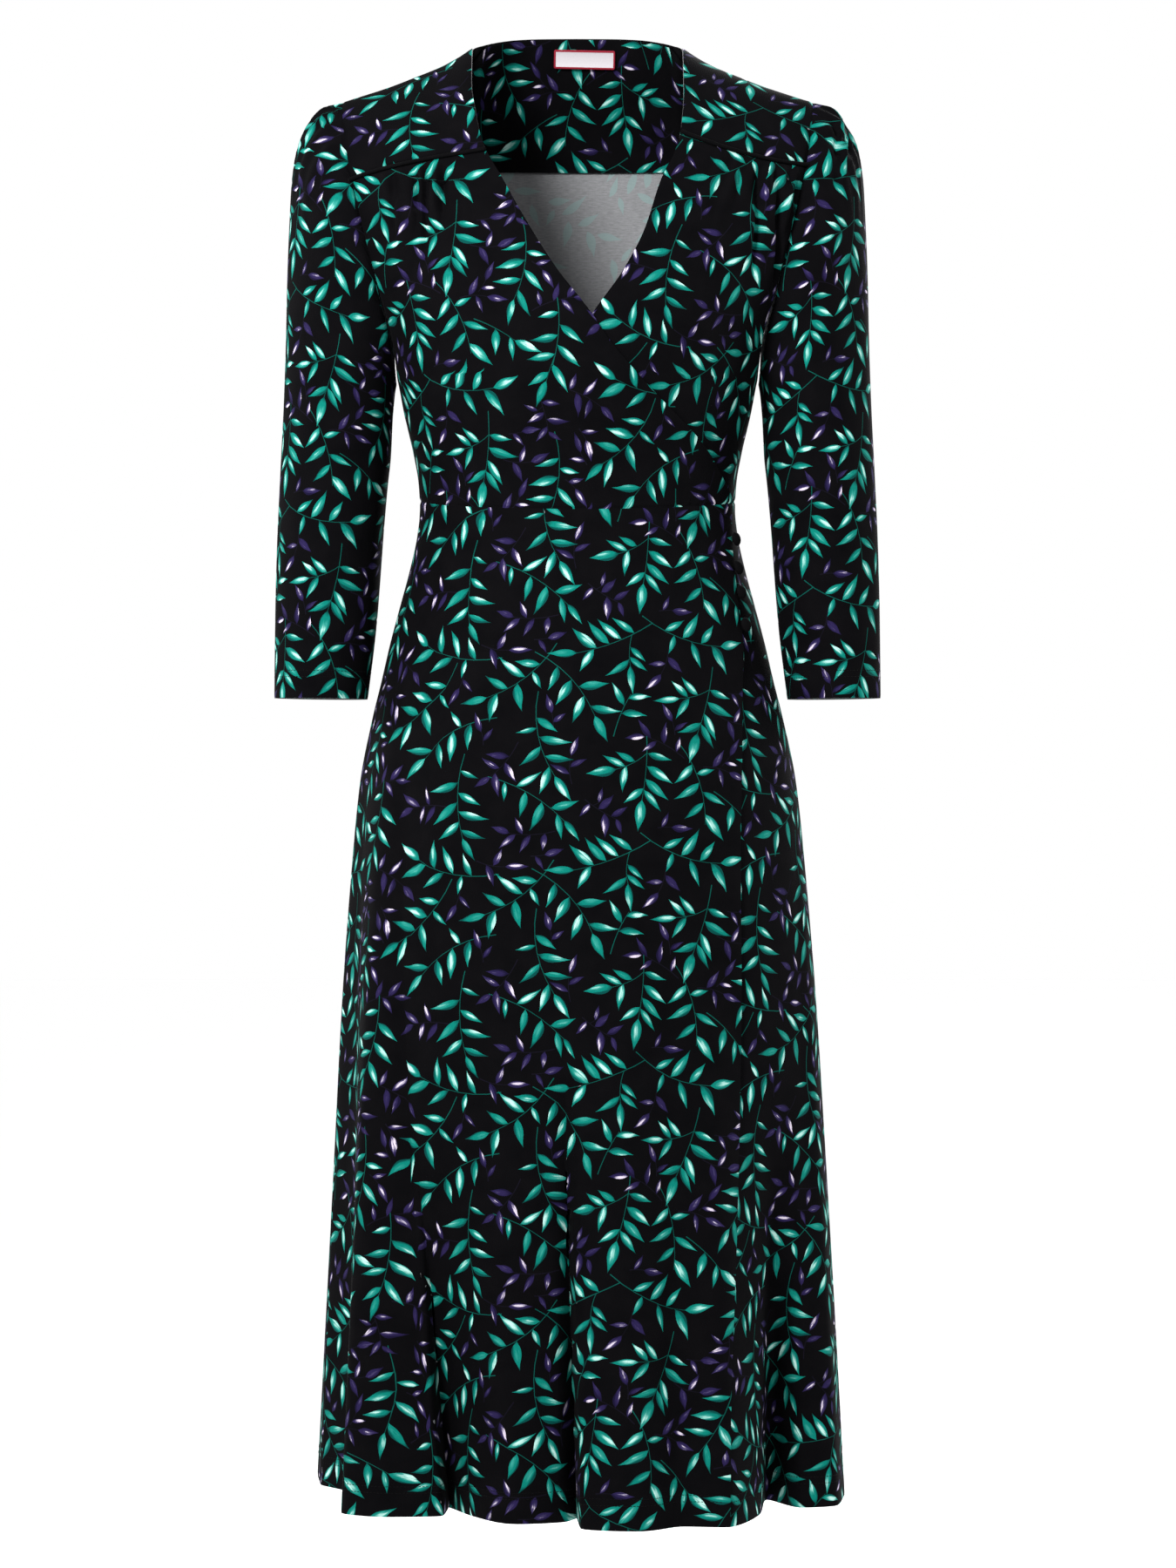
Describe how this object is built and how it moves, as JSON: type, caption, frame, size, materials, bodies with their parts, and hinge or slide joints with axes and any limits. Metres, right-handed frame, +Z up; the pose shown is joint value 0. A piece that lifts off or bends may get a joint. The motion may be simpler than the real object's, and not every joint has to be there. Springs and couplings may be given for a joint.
{
  "type": "wrap dress",
  "caption": "Midi wrap dress worn and hollow, with a crossed V neck, gathered front yokes, three-quarter sleeves and buttons beside the wrap edge.",
  "frame": {"origin": "midway between the two points where the shoulder seams meet the neck, where a wearer's shoulders hold the dress up", "axes": "+Z up, +Y to the back of the dress, +X to the wearer's left"},
  "size_m": [0.4792, 0.3928, 1.1593],
  "materials": {
    "printed_jersey": "soft matte knit",
    "plain_jersey": "soft matte knit",
    "woven_label": "woven satin"
  },
  "bodies": {
    "root": {"bodice_front_right": "printed_jersey", "bodice_front_left": "printed_jersey", "yoke_right": "printed_jersey", "yoke_left": "printed_jersey", "piping_right": "plain_jersey", "piping_left": "plain_jersey", "bodice_back": "printed_jersey", "back_facing": "printed_jersey", "neck_label": "woven_label", "sleeve_right": "printed_jersey", "sleeve_left": "printed_jersey", "skirt_front_right": "printed_jersey", "skirt_front_left": "printed_jersey", "skirt_back": "printed_jersey", "button_1": "plain_jersey", "button_2": "plain_jersey", "button_3": "plain_jersey", "button_4": "plain_jersey"}
  },
  "joints": []
}
